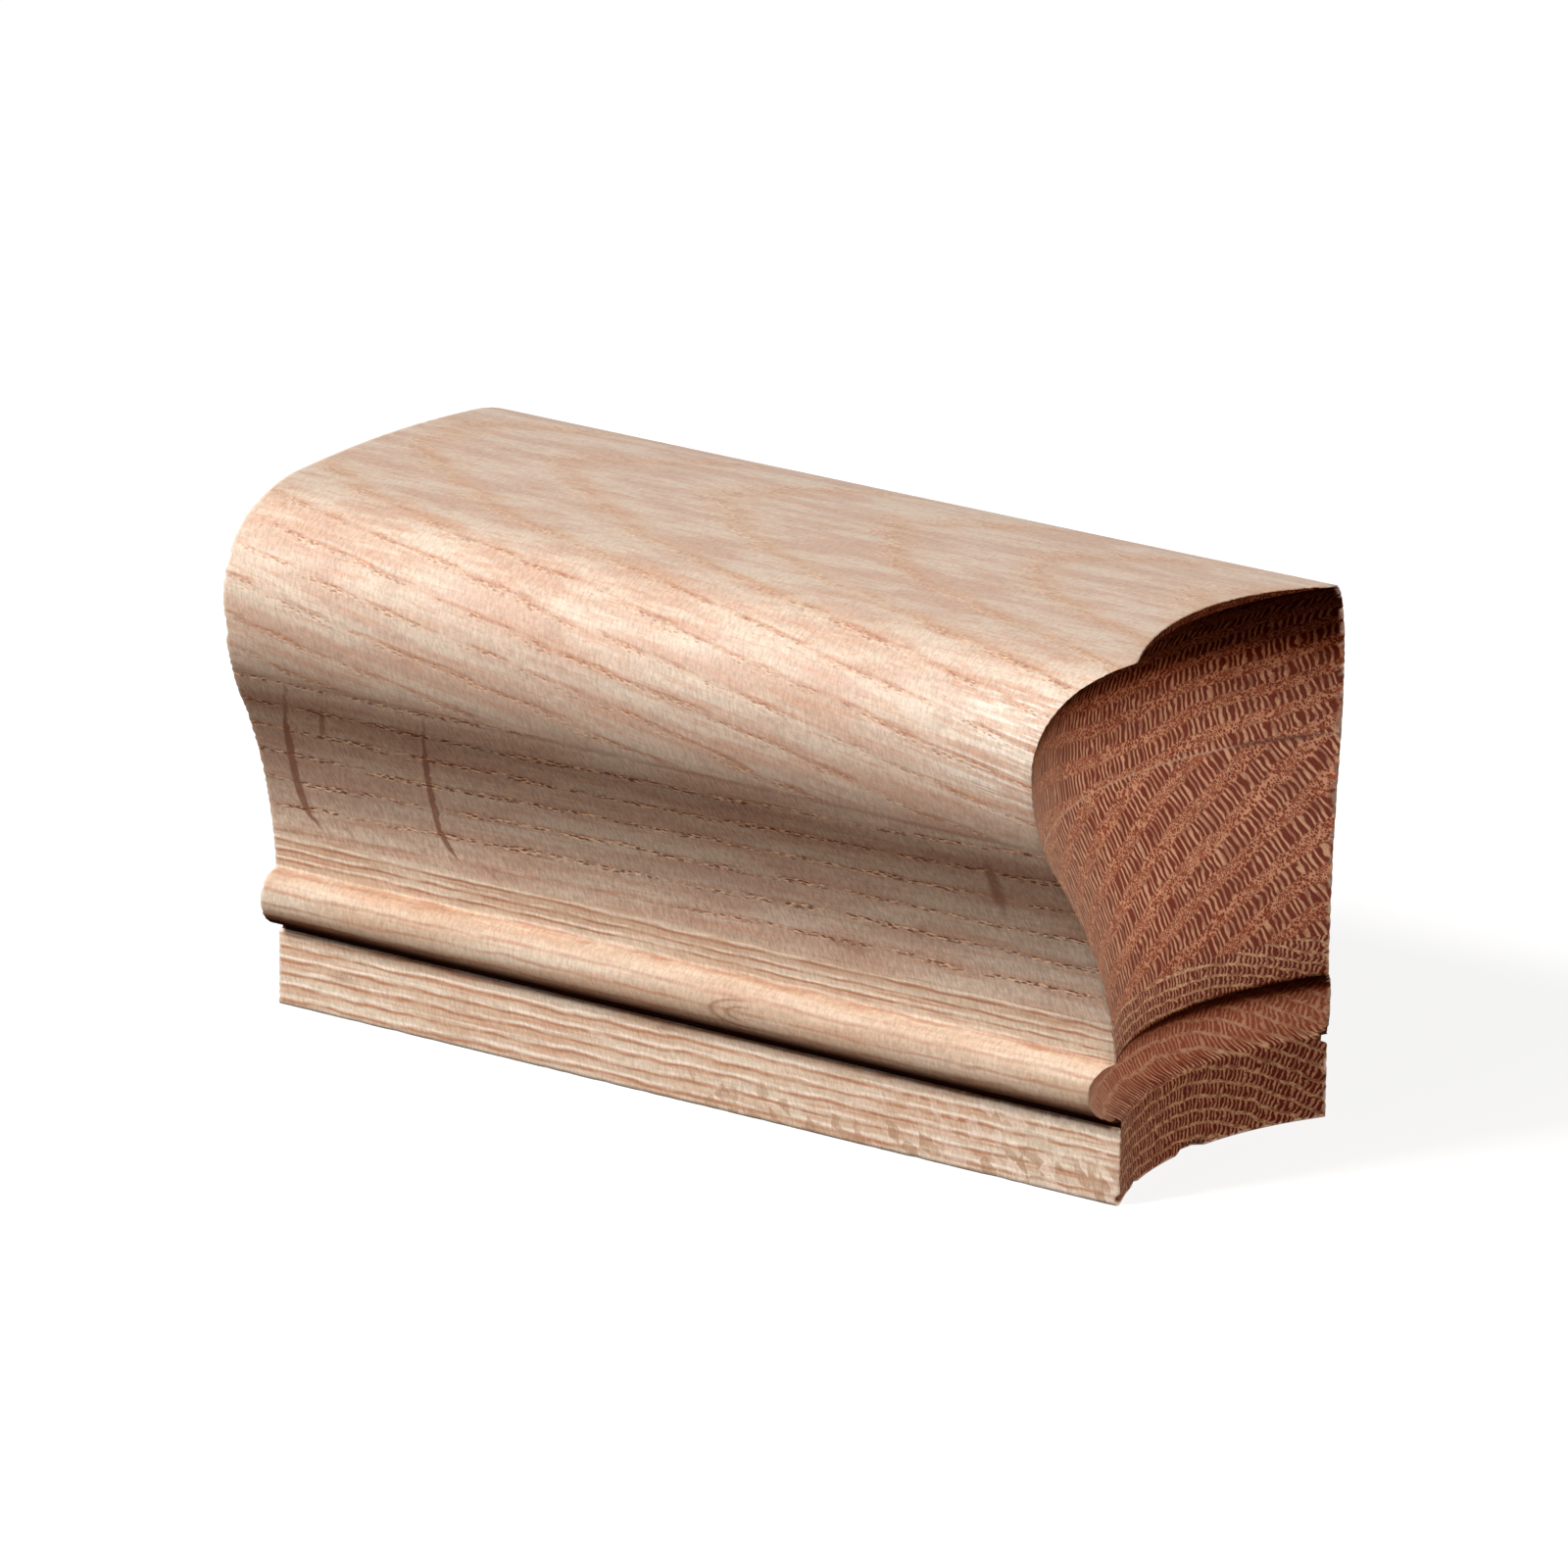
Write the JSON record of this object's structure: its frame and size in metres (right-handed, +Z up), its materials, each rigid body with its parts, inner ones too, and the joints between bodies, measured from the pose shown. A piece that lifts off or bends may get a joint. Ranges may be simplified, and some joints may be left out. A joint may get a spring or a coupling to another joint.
{
  "type": "coped handrail end fitting",
  "caption": "Short moulded wooden handrail end with one square end and one end coped to seat against the rim of a round newel cap.",
  "frame": {"origin": "middle of the overall length and of the width, on the flat underside", "axes": "+X along the rail from the square end to the cope, +Y across the rail, +Z up"},
  "size_m": [0.1134, 0.0572, 0.0603],
  "materials": {
    "oak": "bare, sanded"
  },
  "bodies": {
    "root": {"coped_rail_end": "oak"}
  },
  "joints": []
}
